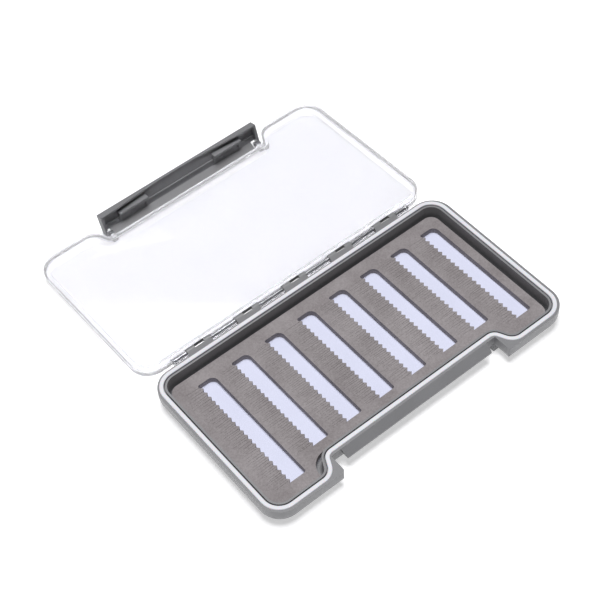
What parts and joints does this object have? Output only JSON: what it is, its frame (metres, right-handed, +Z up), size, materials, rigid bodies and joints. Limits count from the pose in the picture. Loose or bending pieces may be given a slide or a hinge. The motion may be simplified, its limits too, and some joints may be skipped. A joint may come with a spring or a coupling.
{
  "type": "fly box",
  "caption": "Slim waterproof fly box, open: grey tray with slit foam and white seal, clear lid hinged flat beside it, grey latch lever.",
  "frame": {"origin": "centre of the tray's underside, on the surface it stands on", "axes": "+X along the hinge (the long side), +Y from the latch bay towards the hinge and the open lid, +Z up out of the tray"},
  "size_m": [0.1844, 0.2029, 0.0159],
  "materials": {
    "grey_plastic": "satin moulded",
    "seal_silicone": "matte silicone",
    "fly_foam": "matte closed-cell foam",
    "white_sheet": "satin",
    "pin_steel": "drawn wire",
    "clear_plastic": "gloss clear moulded plastic",
    "latch_plastic": "satin moulded"
  },
  "bodies": {
    "base": {"base_shell": "grey_plastic", "gasket": "seal_silicone", "foam_insert": "fly_foam", "backing_sheet": "white_sheet", "hinge_pin": "pin_steel"},
    "lid": {"lid": "clear_plastic"},
    "latch": {"latch_lever": "latch_plastic"}
  },
  "joints": [
    {"name": "lid_hinge", "type": "hinge", "parent": "base", "child": "lid", "pos_m": [0, 0.0518, 0.0115], "axis": [1, 0, 0], "range_deg": [0, 182.5]},
    {"name": "latch_hinge", "type": "hinge", "parent": "lid", "child": "latch", "pos_m": [0, 0.14589, 0.00459], "axis": [1, 0, 0], "range_deg": [-83, 12]}
  ]
}
